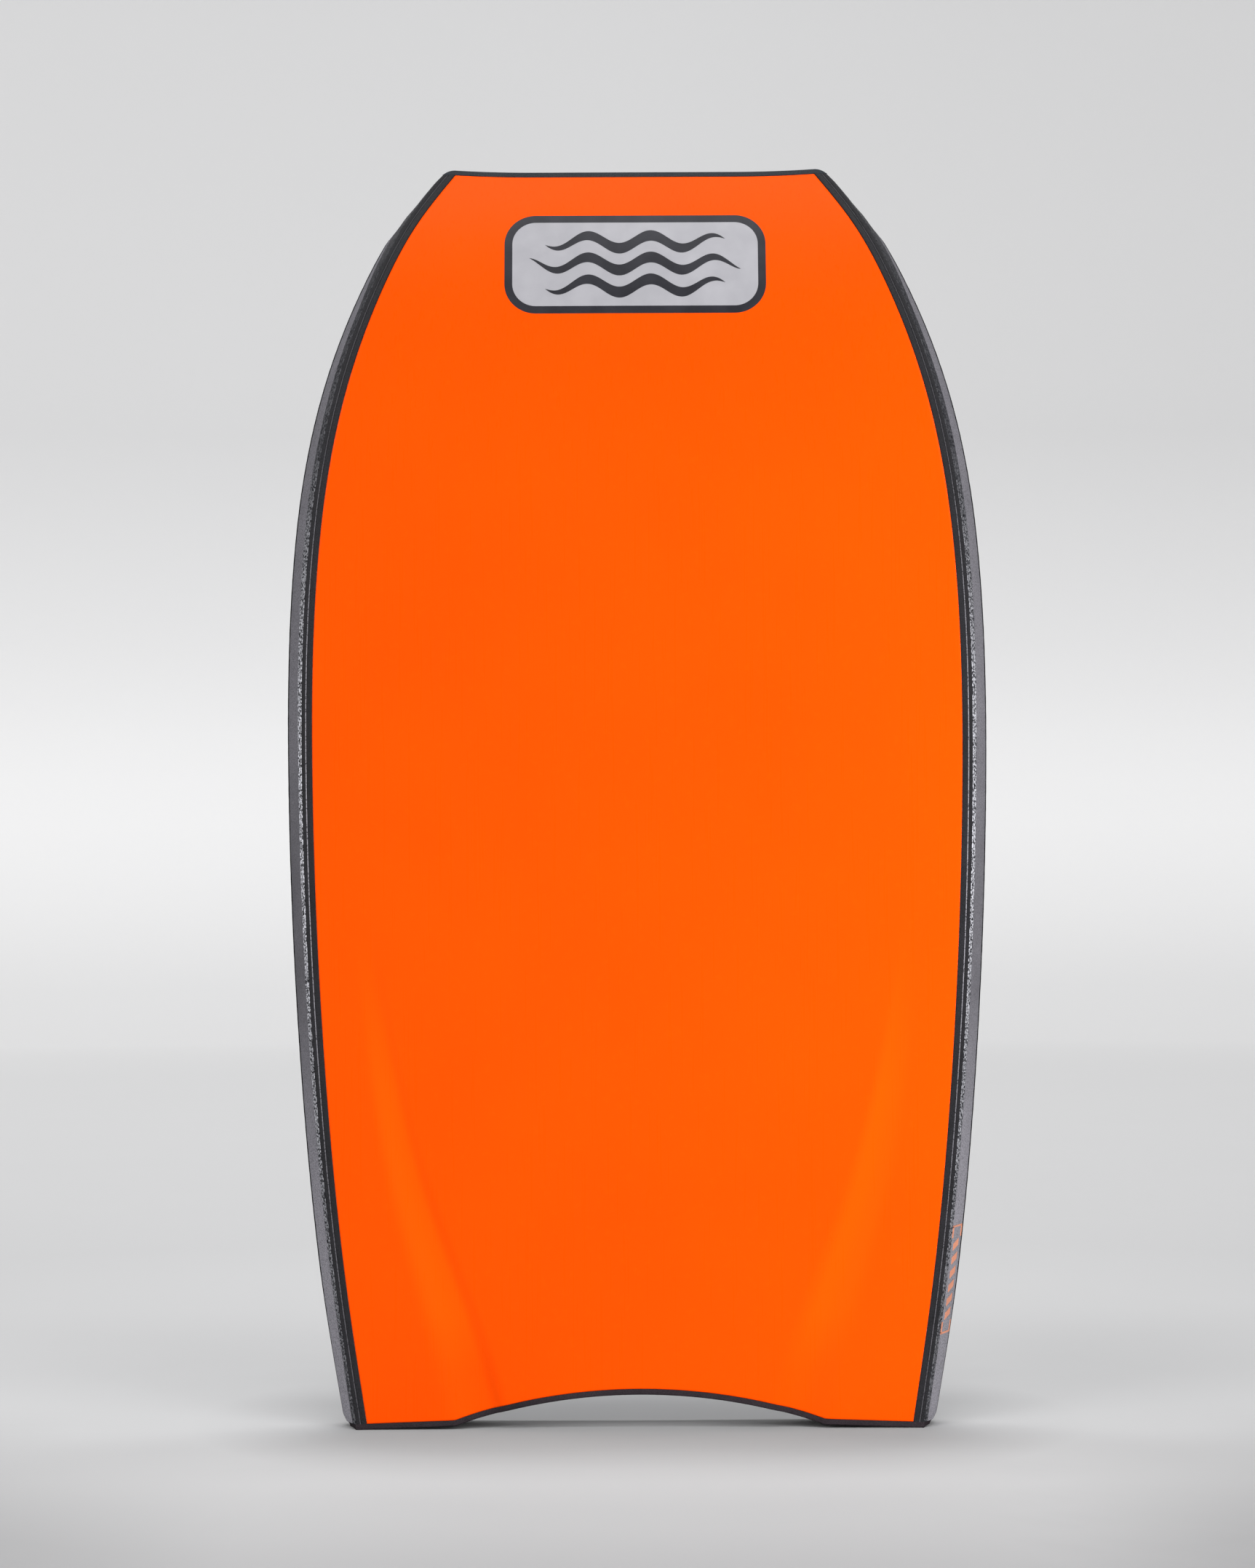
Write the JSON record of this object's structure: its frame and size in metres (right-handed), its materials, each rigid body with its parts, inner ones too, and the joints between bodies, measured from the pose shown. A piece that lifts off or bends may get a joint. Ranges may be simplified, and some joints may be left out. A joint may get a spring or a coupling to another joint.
{
  "type": "bodyboard",
  "caption": "Crescent-tail bodyboard with a plastic slick bottom, layered foam rails, a foam deck, a tube stringer and an upswept nose.",
  "frame": {"origin": "centre of the bounding box in X and Y, at the tail (lowest point) in Z", "axes": "+Z from the tail to the nose, -Y out of the slick (bottom), +Y out of the deck, +X to the rider's left"},
  "size_m": [0.6204, 0.122, 1.1178],
  "materials": {
    "slick": "smooth orange polyethylene skin, low gloss",
    "deck": "closed-cell foam skin, fine pebble",
    "band": "closed-cell foam strip, fine pebble",
    "rail_inner": "closed-cell foam strip",
    "rail_outer": "closed-cell foam strip, grey pebbled face",
    "rail_upper": "closed-cell foam strip, fine pebble",
    "bulb": "closed-cell foam, fine pebble",
    "blank": "white closed-cell foam",
    "stringer": "glass-fibre tube",
    "cap": "moulded plug"
  },
  "bodies": {
    "root": {"core": "blank", "slick": "slick", "deck_skin": "deck", "tail_band": "band", "nose_band": "band", "stringer": "stringer", "stringer_cap_tail": "cap", "stringer_cap_nose": "cap", "rail_inner_left": "rail_inner", "rail_outer_left": "rail_outer", "rail_upper_left": "rail_upper", "bulb_left": "bulb", "rail_inner_right": "rail_inner", "rail_outer_right": "rail_outer", "rail_upper_right": "rail_upper", "bulb_right": "bulb"}
  },
  "joints": []
}
